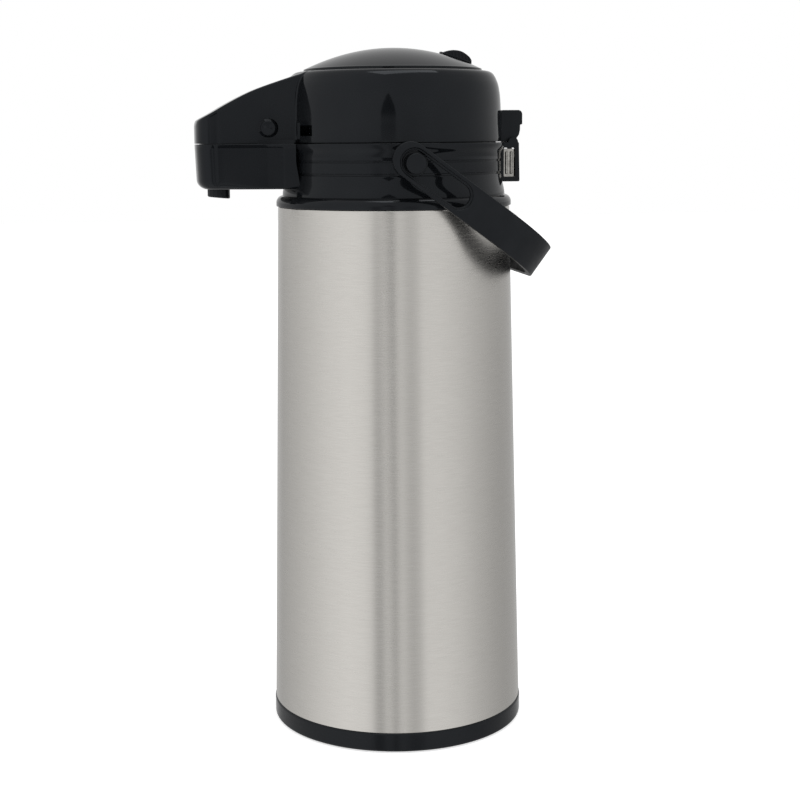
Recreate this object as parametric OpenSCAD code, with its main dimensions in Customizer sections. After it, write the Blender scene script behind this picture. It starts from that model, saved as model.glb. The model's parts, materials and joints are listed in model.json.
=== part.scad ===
// Thermal airpot: a vacuum flask in a tapered steel jacket, with a hinged pump head, a pouring
// spout and a swinging carry handle. +Z is up, the spout points to -Y, and the origin is the
// centre of the face that the airpot stands on.

/* [Jacket] */
// Radius of the steel jacket at its bottom edge
jacket_bottom_r = 77.5; // [76.8:0.1:78]
// Radius of the steel jacket at its top edge
jacket_top_r = 70.3; // [70:0.1:70.8]
// Height of the jacket's top edge above the table
jacket_top_z = 320.5; // [320:0.1:320.6]
// Thickness of the jacket sheet
jacket_wall = 0.6; // [0.5:0.1:0.8]

/* [Base] */
// Radius of the black base ring
base_r = 78; // [77.5:0.1:80]
// Height of the base ring's shoulder, where the jacket stands
base_top_z = 12.3; // [11:0.1:13]
// Outer radius of the screw-in cup that holds the flask up
cup_r = 35.7; // [35:0.1:35.8]

/* [Flask] */
// Outer radius of the flask's outer wall
flask_r = 66.5; // [65:0.1:66.6]
// Outer radius of the flask's inner wall
bottle_r = 59.7; // [58:0.1:60]
// Thickness of each flask wall
flask_wall = 1.8; // [1.5:0.1:1.9]
// Radius of the flask's mouth
mouth_r = 28; // [27.8:0.1:28.2]

/* [Neck] */
// Radius of the shoulder ring above the jacket
shoulder_r = 71.3; // [70.8:0.1:72]
// Radius of the neck's straight band
neck_r = 65.3; // [65.2:0.1:65.6]
// Radius of the neck's top lip
lip_r = 67.3; // [66.6:0.1:67.6]
// Radius of the well inside the neck
well_r = 62.5; // [62.4:0.1:62.8]

/* [Head] */
// Radius of the head at the seam
head_r = 65.3; // [65:0.1:65.8]
// Thickness of the head and spout walls
head_wall = 2.5; // [2:0.1:2.6]
// Radius of the round push plate
plate_r = 53.6; // [53:0.1:54]
// Rise of the push plate's dome above its rim
dome_rise = 12.8; // [11:0.1:14]

/* [Spout] */
// Distance from the flask's axis to the spout's tip
spout_reach = 119.4; // [117:0.1:122]
// Half the spout's width at the head
spout_root_w = 28; // [27:0.1:29]
// Half the spout's width where its nose begins
spout_nose_w = 21.6; // [20:0.1:23]
// Distance from the flask's axis to the nozzle
nozzle_y = 106; // [104:0.5:106.5]
// Outer radius of the nozzle
nozzle_r = 6.7; // [6:0.1:6.8]

/* [Handle] */
// Half the handle's outer width
bail_half_w = 77; // [76.8:0.1:80]
// Thickness of the handle strap
bail_t = 4.2; // [3:0.1:4.2]
// Width of the handle strap
bail_w = 20.6; // [18:0.1:20.8]
// Distance from the pivot to the outside of the handle's crest
bail_reach = 100.9; // [100.7:0.1:106]
// Angle of the resting handle below the horizontal
bail_drop = 36.3; // [34:0.1:36.3]

/* [Rear hinge] */
// Distance from the flask's axis to the lid's hinge pin
hinge_y = 72.3; // [72.2:0.1:72.5]
// Radius of the hinge pin
hinge_pin_r = 1.5; // [1.3:0.1:1.5]
// Width of the lid's tongue between the cheeks
tongue_w = 14; // [12:0.5:14]

/* [Hidden] */
$fn = 96;

black_gloss = [0.13, 0.13, 0.14];
black_satin = [0.17, 0.17, 0.18];
grey_rubber = [0.30, 0.30, 0.31];
steel = [0.72, 0.71, 0.69];
dark_steel = [0.45, 0.45, 0.44];
silver_glass = [0.78, 0.80, 0.82];
milky = [0.88, 0.88, 0.85];

gap = 0.3;
pin_clearance = 0.05;
base_foot_z = 0.5;
shoulder_z = 320.9;
neck_z = 327.3;
lip_z = 357.9;
seam_z = 358.6;
plate_rim_z = 401.6;
head_top_z = 400.3;
rim_z = 336;
gasket_z = rim_z + 2.5;
siphon_y = -14;
nipple_z = 345;
stopper_z = 344;
floor_top_z = seam_z + 3;
pipe_r = 4.5;
pipe_bore_r = 3.2;
pipe_z = 366.8;
nozzle_top_z = 337.3;
duct_y = 18;
duct_r = 4.5;
pump_base_z = 372;
bellows_z = pump_base_z + 2.5;
bellows_top_z = 394;
plate_pivot_y = 46;
plate_pivot_z = 396;
bail_pivot_z = 347;
bail_boss_x = 72.3;
hinge_z = 358.2;
hinge_ear_r = 3;
lock_r = 38;
lock_swing = 25;
button_y = -78;
button_z = 367.4;
lower_floor_z = 332.8;
nose_d = 107;
spout_boss_x = 14;
spout_boss_y = [-71.5, -96];
lid_boss_r = 59.2;

// Points along an arc about [cx, cy], from angle a0 to a1
function arc(cx, cy, r, a0, a1, n = 8) =
    [for (i = [0:n]) let (a = a0 + (a1 - a0) * i / n) [cx + r * cos(a), cy + r * sin(a)]];
// Height of the dome's top surface at radius r
function dome_z(r) = plate_rim_z + dome_rise * (1 - pow(r / plate_r, 2));
// One side of the spout's plan from the head to the tip, drawn in by t
function spout_side(t, n = 9) = concat(
    [[spout_root_w - t, 40], [spout_root_w - t, 62]],
    [for (i = [0:n]) let (a = 90 * i / n)
        [(spout_nose_w - t) * pow(cos(a), 0.55),
         nose_d + (spout_reach - t - nose_d) * pow(sin(a), 0.8)]]);
// The same points on the other side, without the one on the centre line
function flip_x(points) = [for (i = [len(points) - 2:-1:0]) [-points[i][0], points[i][1]]];

module ring(r_in, r_out, z0, z1) {
    translate([0, 0, z0]) difference() {
        cylinder(r = r_out, h = z1 - z0);
        translate([0, 0, -1]) cylinder(r = r_in, h = z1 - z0 + 2);
    }
}

// A solid of revolution about Z from [radius, height] points
module turned(points) {
    rotate_extrude($fn = 96) polygon(points);
}

// Copies at n even angles, the first at angle a0
module around(n, a0 = 0) {
    for (i = [0:n - 1]) rotate([0, 0, a0 + 360 * i / n]) children();
}

// An outline in [y, z] made solid from x0 to x1
module side_cut(points, x0, x1) {
    translate([x0, 0, 0]) rotate([90, 0, 90]) linear_extrude(x1 - x0) polygon(points);
}

// A cylinder along X at [y, z] from x0 to x1
module bar_x(r, y, z, x0, x1) {
    translate([x0, y, z]) rotate([0, 90, 0]) cylinder(r = r, h = x1 - x0);
}

// A round-wire coil of radius r from z0 to z1
module coil(r, wire_r, z0, z1, turns) {
    steps = 14;
    sides = 6;
    n = turns * steps;
    ring_points = [for (i = [0:n]) let (a = 360 * i / steps, z = z0 + (z1 - z0) * i / n)
        for (j = [0:sides - 1]) let (b = -360 * j / sides, q = r + wire_r * cos(b))
            [q * cos(a), q * sin(a), z + wire_r * sin(b)]];
    skin = [for (i = [0:n - 1]) for (j = [0:sides - 1]) let (k = (j + 1) % sides, s = i * sides)
        [s + j, s + k, s + sides + k, s + sides + j]];
    start_cap = [[for (j = [sides - 1:-1:0]) j]];
    end_cap = [[for (j = [0:sides - 1]) n * sides + j]];
    polyhedron(ring_points, concat(skin, start_cap, end_cap), convexity = 8);
}

// ---- vessel ----

module foot_ring() {
    color(grey_rubber) ring(60, 68, 0, 3);
}

module base_cover() {
    edge = 1.8;
    color(black_gloss) turned(concat(
        arc(base_r - edge, base_foot_z + edge, edge, -90, 0, 6),
        arc(base_r - 1.4, base_top_z - 1.4, 1.4, 0, 90, 5),
        [[76.3, base_top_z], [76.3, 24], [74, 24], [74, 5], [39, 5], [39, 16], [36, 16], [36, 1],
         [60, 1], [60, 3], [68, 3], [68, base_foot_z]]));
}

module liner_cup() {
    color(black_satin) {
        turned([[0, 6], [32.5, 6], [32.5, 1.5], [cup_r, 1.5], [cup_r, 15], [32.5, 15],
                [32.5, 9], [0, 9]]);
        translate([-30, -4, 2]) cube([60, 8, 4.5]);
    }
}

module liner_cushion() {
    color(grey_rubber) ring(8, 26, 9, 17);
}

module outer_shell() {
    color(steel) turned([
        [jacket_bottom_r - jacket_wall, base_top_z], [jacket_bottom_r - 0.15, base_top_z],
        [jacket_bottom_r, base_top_z + 0.3],
        [jacket_top_r, jacket_top_z - 0.5], [jacket_top_r - 0.15, jacket_top_z - 0.15],
        [jacket_top_r - 0.5, jacket_top_z], [jacket_top_r - 0.8, jacket_top_z],
        [jacket_top_r - 0.8, jacket_top_z - 1], [jacket_top_r - jacket_wall, jacket_top_z - 2]]);
}

// The flask's sealed gap holds a vacuum; its two walls meet at the mouth's rim
module flask_outer_wall() {
    bend = 28.5;
    c = flask_r - bend;
    color(silver_glass) {
        turned(concat(
            [[0, 17]], arc(c, 17 + bend, bend, -90, 0, 10), arc(c, 292, bend, 0, 70, 8),
            [[33, 323.5], [33, rim_z], [mouth_r, rim_z], [mouth_r, rim_z - 2], [31.2, rim_z - 2],
             [31.2, 322.4]],
            arc(c, 292, bend - flask_wall, 70, 0, 8),
            arc(c, 17 + bend, bend - flask_wall, 0, -90, 10), [[0, 17 + flask_wall]]));
        translate([0, 0, 11]) cylinder(r = 3.5, h = 6.5);
    }
}

module flask_inner_wall() {
    bend = 28.5;
    top_bend = 23.7;
    c = bottle_r - bend;
    d = bottle_r - top_bend;
    color(silver_glass) turned(concat(
        [[0, 24]], arc(c, 24 + bend, bend, -90, 0, 10), arc(d, 288, top_bend, 0, 70, 8),
        [[mouth_r + flask_wall, 316], [mouth_r + flask_wall, rim_z - 2], [mouth_r, rim_z - 2],
         [mouth_r, 314.6]],
        arc(d, 288, top_bend - flask_wall, 70, 0, 8),
        arc(c, 24 + bend, bend - flask_wall, 0, -90, 10), [[0, 24 + flask_wall]]));
}

module shoulder_cushion() {
    color(grey_rubber) turned([[36, 322.7], [46, 319.5], [46, 325], [36, 325]]);
}

module shoulder_ring() {
    edge = 4.3;
    color(black_gloss) difference() {
        turned(concat(
            [[36, 325], [66.8, 325], [66.8, 304], [69.2, 304], [69.2, shoulder_z],
             [shoulder_r, shoulder_z]],
            arc(shoulder_r - edge, neck_z - edge, edge, 0, 90, 8), [[36, neck_z]]));
        around(6, 30) translate([50, 0, 300]) cylinder(r = 1.55, h = 40);
    }
}

module hinge_bracket() {
    half = 10.6;
    difference() {
        union() {
            side_cut([[63, 334.5], [76.3, 334.5], [75.8, lip_z - 0.3], [63, lip_z - 0.3]],
                     -half, half);
            bar_x(hinge_ear_r, hinge_y, hinge_z, -half, half);
        }
        // the window, open from side to side
        side_cut([[66.4, 337.3], [73.5, 337.3], [73.3, 354.8], [66.4, 354.8]], -half - 1, half + 1);
        // the slot in which the lid's tongue swings
        side_cut([[67.5, 349.4], [80, 349.4], [80, 363], [67.5, 363]],
                 -tongue_w / 2 - 0.4, tongue_w / 2 + 0.4);
        bar_x(hinge_pin_r + pin_clearance, hinge_y, hinge_z, -half - 1, half + 1);
    }
}

module neck_collar() {
    r = neck_r;
    color(black_gloss) difference() {
        union() {
            turned([
                [67.4, neck_z], [67.3, 330], [66.7, 334], [66, 337.5], [r + 0.2, 339.7],
                [r - 0.5, 339.9], [r - 0.5, 340.9], [r + 0.1, 341.1], [r, 347.2],
                [r - 0.5, 347.4], [r - 0.5, 348.3], [r, 348.5], [r - 0.1, 352],
                [r + 0.3, 354.3], [r + 1.1, 355.8], [lip_r - 0.1, 356.6], [lip_r, 357],
                [lip_r, 357.6], [lip_r - 0.3, lip_z], [well_r, lip_z], [well_r, 331],
                [34.5, 331], [34.5, neck_z]]);
            bar_x(7.5, 0, bail_pivot_z, well_r + 1, bail_boss_x);
            bar_x(7.5, 0, bail_pivot_z, -bail_boss_x, -well_r - 1);
            hinge_bracket();
        }
        bar_x(3.05, 0, bail_pivot_z, well_r - 1, bail_boss_x + 1);
        bar_x(3.05, 0, bail_pivot_z, -bail_boss_x - 1, -well_r + 1);
        around(6, 30) translate([50, 0, 320]) cylinder(r = 1.7, h = 20);
    }
}

module collar_screws() {
    color(dark_steel) around(6, 30) translate([50, 0, 0]) {
        translate([0, 0, 320]) cylinder(r = 1.5, h = 11);
        translate([0, 0, 331]) difference() {
            cylinder(r = 3, h = 2);
            translate([0, 0, 0.9]) cylinder(r = 1.4, h = 2, $fn = 6);
        }
    }
}

module mouth_gasket() {
    color(grey_rubber) turned([[33.3, 331], [36.5, 331], [36.5, gasket_z], [mouth_r, gasket_z],
                               [mouth_r, rim_z], [33.3, rim_z]]);
}

module siphon_tube() {
    color(milky) translate([0, siphon_y, 0]) difference() {
        ring(3.7, 5, 29, 341);
        // notches at the foot let the last of the drink in
        for (a = [0, 90]) rotate([0, 0, a]) translate([-6, -1.2, 28]) cube([12, 2.4, 4]);
    }
}

module siphon_head() {
    color(milky) difference() {
        union() {
            translate([0, 0, gasket_z]) cylinder(r = 34.3, h = 2.5);
            ring(24.5, 26.8, 331, gasket_z + 1);
            translate([0, siphon_y, 330]) cylinder(r = 8, h = gasket_z - 329);
            translate([0, siphon_y, gasket_z]) cylinder(r = 7, h = nipple_z - gasket_z);
        }
        translate([0, siphon_y, 329]) cylinder(r = 5.05, h = 12);
        translate([0, siphon_y, 340]) cylinder(r = 3.6, h = 10);
        // the openings that let the air down and the drink's steam out
        for (a = [30, 90, 150]) rotate([0, 0, a]) translate([16, 0, gasket_z - 1]) cylinder(r = 5, h = 5);
    }
}

// ---- handle ----

module handle_pin(side) {
    color(black_satin) rotate([0, 0, side < 0 ? 180 : 0]) {
        bar_x(3, 0, bail_pivot_z, well_r + 0.6, bail_boss_x + 0.3);
        translate([bail_boss_x, 0, bail_pivot_z]) rotate([0, 90, 0]) turned(concat(
            [[0, 0], [5.8, 0]], arc(5.3, 5.2, 0.5, 0, 90, 4), [[0, 5.7]]));
    }
}

module handle_pin_left() {
    handle_pin(-1);
}

module handle_pin_right() {
    handle_pin(1);
}

module handle_bail() {
    half = bail_w / 2;
    corner = 40;
    w = bail_half_w;
    slot_far = 30.4;
    slot_r = 6.9;
    end_y = -3.5;
    strap = concat(
        [[w, end_y - half - 1]], arc(w - corner, bail_reach - corner, corner, 0, 90, 12),
        arc(-w + corner, bail_reach - corner, corner, 90, 180, 12), [[-w, end_y - half - 1]],
        [[-w + bail_t, end_y - half - 1]],
        arc(-w + corner, bail_reach - corner, corner - bail_t, 180, 90, 12),
        arc(w - corner, bail_reach - corner, corner - bail_t, 90, 0, 12),
        [[w - bail_t, end_y - half - 1]]);
    color(black_satin) translate([0, 0, bail_pivot_z]) rotate([-bail_drop, 0, 0]) difference() {
        intersection() {
            translate([0, 0, -half]) linear_extrude(bail_w) polygon(strap);
            union() {
                bar_x(half, end_y, 0, -w - 1, w + 1);
                translate([-w - 1, end_y, -half - 1]) cube([2 * w + 2, bail_reach + 10, bail_w + 2]);
            }
        }
        bar_x(slot_r, -1, 0, -w - 1, w + 1);
        bar_x(slot_r, slot_far, 0, -w - 1, w + 1);
        translate([-w - 1, -1, -slot_r]) cube([2 * w + 2, slot_far + 1, 2 * slot_r]);
    }
}

// ---- rear hinge ----

module hinge_pin() {
    color(dark_steel) bar_x(hinge_pin_r, hinge_y, hinge_z, -10.2, 10.2);
}

// A spring leaf bent into a U, with a cheek on each side
module hinge_clip() {
    t = 0.8;
    r = 2.8;
    front = 67.2;
    mid = front + r;
    rear = front + 2 * r;
    color(steel) {
        side_cut(concat(
            [[front, 354]], arc(mid, 340.9, r, 180, 360, 10), [[rear, 348.6], [rear - t, 348.6]],
            arc(mid, 340.9, r - t, 360, 180, 10), [[front + t, 354]]), -8.3, 8.3);
        for (s = [-1, 1])
            side_cut([[66.4, 337.3], [73, 337.3], [73, 354.2], [66.4, 354.2]],
                     s * 8.7 - 0.4, s * 8.7 + 0.4);
    }
}

module hinge_tongue() {
    front = 65.4;
    color(black_satin) difference() {
        union() {
            side_cut(concat(
                [[front, 364.5], [67.6, 361.2], [75, 360.4], [76.6, 362.7], [77.3, 365.4],
                 [77.4, 368.5], [78.7, 368.9]],
                arc(76.2, 374.9, 2.5, 0, 90, 5), arc(front + 1.4, 376, 1.4, 90, 180, 4)),
                -tongue_w / 2, tongue_w / 2);
            bar_x(hinge_ear_r, hinge_y, hinge_z, -tongue_w / 2, tongue_w / 2);
            side_cut([[hinge_y - hinge_ear_r, hinge_z], [hinge_y + hinge_ear_r, hinge_z],
                      [hinge_y + 2.2, 362], [hinge_y - 2.8, 362]], -tongue_w / 2, tongue_w / 2);
        }
        bar_x(hinge_pin_r + pin_clearance, hinge_y, hinge_z, -8, 8);
        for (x = [-3.6, 3.6]) translate([x, 60, 371.5]) rotate([-90, 0, 0]) cylinder(r = 1.25, h = 12);
    }
}

module tongue_screws() {
    color(dark_steel) for (x = [-3.6, 3.6]) translate([x, 0, 371.5]) rotate([-90, 0, 0]) {
        translate([0, 0, 60.2]) cylinder(r = 2.4, h = 1.9);
        translate([0, 0, 62]) cylinder(r = 1.2, h = 9);
    }
}

// ---- lid: covers ----

// The spout's plan from inside the head out to its tip, drawn in by t
module spout_plan(t) {
    side = spout_side(t);
    points = concat(side, flip_x(side));
    polygon([for (p = points) [p[0], -p[1]]]);
}

// The spout's top line as [distance, height], drawn in by t
function spout_top(t) = [
    [40, head_top_z - t], [48, head_top_z - t], [55, 399.4 - t], [62, 397.4 - t],
    [70, 394.9 - t], [78, 392.2 - t], [86, 389.2 - t], [92, 386.5 - t], [98, 383.5 - t],
    [107, 378.5 - t], [117.6 - t, 372.6 - t * 0.8], [119 - t, 371 - t * 0.8],
    [spout_reach + 1 - t, 368.5 - t]];

module spout_upper(t, z0) {
    top = [for (p = spout_top(t)) [-p[0], p[1]]];
    intersection() {
        translate([0, 0, z0]) linear_extrude(60) spout_plan(t);
        side_cut(concat([[-40, z0 - 1]], top, [[-spout_reach - 1, z0 - 1]]), -40, 40);
    }
}

module head_cover() {
    r = head_r;
    w = head_wall;
    well = plate_r + 1;
    color(black_gloss) difference() {
        union() {
            difference() {
                union() {
                    turned([
                        [0, seam_z], [r, seam_z], [r - 0.15, 368], [r - 0.3, 378],
                        [r - 0.6, 384], [r - 1.1, 388.4], [r - 1.9, 392.4], [r - 3.1, 395.5],
                        [r - 4.1, 397.4], [r - 5.3, 398.9], [r - 7, 399.9], [r - 9.3, head_top_z],
                        [0, head_top_z]]);
                    spout_upper(0, seam_z);
                }
                turned([
                    [0, seam_z - 1], [r - w, seam_z - 1], [r - w - 0.3, 378],
                    [r - w - 1, 387.4], [r - w - 2.6, 393.6], [r - w - 4.6, 396.6],
                    [r - w - 6.4, 397.6], [0, 397.6]]);
                spout_upper(w, seam_z - 1);
                translate([0, 0, 380]) cylinder(r = well, h = 30);
            }
            // the skirt that lines the push plate's opening
            ring(well, well + 1.8, 388, 399);
            // ears for the push plate's pin
            for (s = [-1, 1]) intersection() {
                side_cut([[43, plate_pivot_z - 3], [56, plate_pivot_z - 3],
                          [56, plate_pivot_z + 3], [43, plate_pivot_z + 3]],
                         s * 15.2 - 1.8, s * 15.2 + 1.8);
                cylinder(r = well + 0.9, h = 420);
            }
            // bosses for the lid's screws
            around(4, 45) translate([lid_boss_r, 0, floor_top_z + 0.2]) cylinder(r = 4, h = 22);
            // bosses for the screws of the spout's lower half
            spout_bosses(-1) translate([0, 0, seam_z + 0.4]) cylinder(r = 3.4, h = 32.4);
            spout_bosses(1) translate([0, 0, seam_z + 0.4]) cylinder(r = 3.4, h = 22.6);
        }
        spout_bosses(0) translate([0, 0, seam_z - 1]) cylinder(r = 1.3, h = 14);
        around(4, 45) translate([lid_boss_r, 0, seam_z]) cylinder(r = 1.3, h = 20);
        bar_x(1.5 + pin_clearance, plate_pivot_y, plate_pivot_z, -18, 18);
        for (s = [-1, 1]) {
            button_hole(s);
            latch_window(s);
        }
        for (x = [-3.6, 3.6]) translate([x, 60, 371.5]) rotate([-90, 0, 0]) cylinder(r = 1.3, h = 8);
    }
}

// The round hole for a release button, a little longer towards the rear
module button_hole(side) {
    for (shift = [0, 0.8]) bar_x(5, button_y + shift, button_z, side < 0 ? -40 : 18, side < 0 ? -18 : 40);
}

// The square window at the spout's root that shows the latch
module latch_window(side) {
    translate([side * 33 - 7, -58.6, 362.7]) cube([14, 4.9, 6.1]);
}

// Places under the spout's screws: -1 for the rear pair, 1 for the front pair, 0 for all four
module spout_bosses(which) {
    for (i = which < 0 ? [0] : which > 0 ? [1] : [0, 1], s = [-1, 1])
        translate([s * spout_boss_x, spout_boss_y[i], 0]) children();
}

// The lower half of the spout, hollowed where t is above 0
module spout_lower(t, z0) {
    corner = 5.5 - t;
    front = -spout_reach + t;
    difference() {
        intersection() {
            translate([0, 0, z0]) linear_extrude(lip_z - z0 + (t > 0 ? 1 : 0)) spout_plan(t);
            side_cut(concat(
                [[-50, z0]], [for (p = arc(-front - 0.9 - corner, z0 + corner, corner, -90, 0, 6))
                    [-p[0], p[1]]],
                [[front, lip_z + 2], [-50, lip_z + 2]]), -40, 40);
        }
        translate([0, 0, z0 - 1]) cylinder(r = lip_r + 0.5 + t, h = 40);
    }
}

// A lip that stands inside the upper half, so that the seam is closed behind
module seam_lip(wall) {
    inset = head_wall + gap;
    lip_t = 1.2;
    difference() {
        union() {
            lip_band(inset, inset + lip_t, lip_z - 3, seam_z + 2);
            lip_band(wall - 0.2, inset + lip_t, lip_z - 3, lip_z - 0.4);
        }
        translate([0, 0, lip_z - 4]) cylinder(r = lip_r + 0.5 + wall, h = 10);
        spout_bosses(0) translate([0, 0, seam_z + 0.2]) cylinder(r = 3.8, h = 4);
    }
}

// A band that follows the spout's plan between two insets
module lip_band(outer, inner, z0, z1) {
    translate([0, 0, z0]) linear_extrude(z1 - z0) difference() {
        spout_plan(outer);
        spout_plan(inner);
        translate([-40, -60]) square([80, 60]);
    }
}

module spout_lower_cover() {
    w = 2.3;
    color(black_gloss) difference() {
        union() {
            difference() {
                spout_lower(0, lower_floor_z);
                spout_lower(w, lower_floor_z + w);
            }
            seam_lip(w);
            // posts under the upper half's bosses
            spout_bosses(0) translate([0, 0, lower_floor_z + 1])
                cylinder(r = 3.4, h = seam_z + 0.2 - lower_floor_z - 1);
            // walls that the button springs push against
            for (s = [-1, 1]) translate([s * 11 - 1, button_y - 4.5, lower_floor_z + 1])
                cube([2, 7.3, 39]);
        }
        spout_bosses(0) translate([0, 0, lower_floor_z - 1]) {
            cylinder(r = 1.5, h = 40);
            cylinder(r = 2.8, h = 4);
        }
        translate([0, -nozzle_y, lower_floor_z - 1]) cylinder(r = nozzle_r + 0.1, h = 8);
    }
}

module spout_screws() {
    color(dark_steel) spout_bosses(0) translate([0, 0, lower_floor_z + 1.1]) {
        cylinder(r = 2.5, h = 1.9);
        cylinder(r = 1.2, h = 34);
    }
}

// ---- lid: inside ----

module lid_floor() {
    top = floor_top_z;
    color(black_satin) difference() {
        union() {
            turned([[36, top], [62.4, top], [62.4, seam_z], [38.5, seam_z], [38.5, stopper_z],
                    [0, stopper_z], [0, stopper_z + 2.5], [36, stopper_z + 2.5]]);
            // the rib that centres the lid in the neck's well
            ring(well_r - 2.1, well_r - 0.4, lip_z - 1.7, seam_z + 1);
        }
        translate([0, siphon_y, stopper_z - 1]) cylinder(r = 9, h = 5);
        translate([0, duct_y, stopper_z - 1]) cylinder(r = duct_r, h = 5);
        around(4, 45) translate([lid_boss_r, 0, seam_z - 3]) {
            cylinder(r = 1.5, h = 8);
            cylinder(r = 2.7, h = 4.6);
        }
    }
}

module lid_gasket() {
    color(grey_rubber) ring(30, 35, gasket_z + 2.5 + gap, stopper_z);
}

module lid_screws() {
    color(dark_steel) around(4, 45) translate([lid_boss_r, 0, seam_z + 0.1]) {
        cylinder(r = 2.5, h = 1.5);
        cylinder(r = 1.2, h = 16);
    }
}

module connector_seal() {
    z = nipple_z + gap;
    color(grey_rubber) translate([0, siphon_y, 0]) turned([
        [3.4, z], [8.7, z], [8.7, stopper_z + 2.5], [11, stopper_z + 2.5], [11, z + 3],
        [8.7, z + 3], [8.7, z + 5], [3.4, z + 5]]);
}

// The run of the spout's pipe at radius r, its two ends longer by extra
module pipe_run(r, extra) {
    bend = 8;
    foot_z = nipple_z + gap + 5;
    translate([0, siphon_y, foot_z - extra]) cylinder(r = r, h = pipe_z - bend - foot_z + extra);
    translate([0, siphon_y - bend, pipe_z - bend]) rotate([90, 0, 90])
        rotate_extrude(angle = 90) translate([bend, 0]) circle(r = r);
    translate([0, siphon_y - bend, pipe_z]) rotate([90, 0, 0])
        cylinder(r = r, h = nozzle_y + siphon_y - 2 * bend);
    translate([0, bend - nozzle_y, pipe_z - bend]) rotate([90, 0, 90]) rotate([0, 0, 90])
        rotate_extrude(angle = 90) translate([bend, 0]) circle(r = r);
    translate([0, -nozzle_y, nozzle_top_z - extra])
        cylinder(r = r, h = pipe_z - bend - nozzle_top_z + extra);
}

module spout_pipe() {
    color(milky) difference() {
        pipe_run(pipe_r, 0);
        pipe_run(pipe_bore_r, 1);
    }
}

module nozzle() {
    bottom_z = 326.1;
    slant = 5.5;
    color(black_satin) translate([0, -nozzle_y, 0]) difference() {
        union() {
            translate([0, 0, bottom_z]) cylinder(r = nozzle_r, h = nozzle_top_z - bottom_z);
            translate([0, 0, lower_floor_z + 2.3])
                cylinder(r = 8.2, h = nozzle_top_z - lower_floor_z - 2.3);
        }
        translate([0, 0, bottom_z - 1]) cylinder(r = pipe_bore_r, h = 20);
        // the lip is cut at a slant, so that the last drop hangs at its rear
        translate([0, -nozzle_r, bottom_z + 2 * nozzle_r * tan(slant)]) rotate([-slant, 0, 0])
            translate([-10, -5, -10]) cube([20, 30, 10]);
    }
}

module pump_base() {
    z = pump_base_z;
    color(black_satin) difference() {
        union() {
            translate([0, 0, z]) cylinder(r = 46, h = 2.5);
            ring(44, 46, z + 1, z + 5);
            around(4, 45) translate([42, 0, floor_top_z]) cylinder(r = 3.5, h = z - floor_top_z + 1);
            translate([0, duct_y, stopper_z + 2.5])
                cylinder(r = duct_r + 2.5, h = z - stopper_z - 2);
        }
        translate([0, duct_y, stopper_z]) cylinder(r = duct_r, h = z - stopper_z);
        translate([0, duct_y, z - 1]) cylinder(r = 1.6, h = 6);
        translate([0, duct_y, z - 1]) around(4, 45) translate([3.1, 0, 0]) cylinder(r = 1.1, h = 6);
    }
}

module air_valve() {
    color(grey_rubber) translate([0, duct_y, 0]) {
        translate([0, 0, bellows_z]) cylinder(r = 5.5, h = 1);
        translate([0, 0, bellows_z - 3.5]) cylinder(r = 1.5, h = 4);
        translate([0, 0, bellows_z - 4.5]) cylinder(r = 2.2, h = 1.8);
    }
}

module bellows() {
    folds = 4;
    wide = 40;
    narrow = 31;
    wall = 1.8;
    foot = bellows_z + 1.5;
    top = bellows_top_z - 2;
    side = [for (i = [0:2 * folds])
        [i % 2 == 0 ? narrow : wide, foot + (top - foot) * i / (2 * folds)]];
    inside = [for (i = [2 * folds:-1:0]) [side[i][0] - wall, side[i][1]]];
    color(grey_rubber) turned(concat(
        [[43.5, bellows_z], [43.5, foot]], side,
        [[narrow, bellows_top_z], [0, bellows_top_z], [0, top]],
        inside, [[narrow - wall, bellows_z]]));
}

module pump_spring() {
    color(steel) coil(10, 0.8, bellows_z + 0.8, bellows_top_z - 2.9, 5);
}

// ---- push plate and lock ----

module plate_pin() {
    color(dark_steel) bar_x(1.5, plate_pivot_y, plate_pivot_z, -17.4, 17.4);
}

// A solid of revolution about Z between two angles, from [radius, height] points
module sector(points, a0, a1) {
    rotate([0, 0, a0]) rotate_extrude(angle = a1 - a0) polygon(points);
}

module push_plate() {
    skin = 2.5;
    skirt = plate_r - 2.2;
    top = [for (i = [0:12]) let (r = plate_r * i / 12) [r, dome_z(r)]];
    under = [for (i = [12:-1:0]) let (r = skirt * i / 12) [r, dome_z(r) - skin]];
    color(black_gloss) difference() {
        union() {
            turned(concat(top, [[plate_r, 395.5], [skirt, 395.5]], under));
            // the ring that pushes the bellows down
            ring(11.5, 14, bellows_top_z + 0.4, 412);
            for (s = [-1, 1]) {
                bar_x(3, plate_pivot_y, plate_pivot_z, s * 10.2 - 2.2, s * 10.2 + 2.2);
                side_cut([[43.2, plate_pivot_z], [48.8, plate_pivot_z], [48.8, 402.5],
                          [43.2, 402.5]], s * 10.2 - 2.2, s * 10.2 + 2.2);
            }
        }
        bar_x(1.5 + pin_clearance, plate_pivot_y, plate_pivot_z, -20, 20);
        // notches that clear the cover's ears
        for (s = [-1, 1]) translate([s * 15.2 - 2.3, 40, 390]) cube([4.6, 20, 10.4]);
        // the arc in which the lock's stem slides
        sector([[lock_r - 1.5, 398], [lock_r + 1.5, 398], [lock_r + 1.5, 416],
                [lock_r - 1.5, 416]], 90 - 3.5, 90 + lock_swing + 3.5);
    }
}

// Points at a height h above the dome from radius r0 to r1
function over_dome(r0, r1, h, n = 5) =
    [for (i = [0:n]) let (r = r0 + (r1 - r0) * i / n) [r, dome_z(r) + h]];

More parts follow.
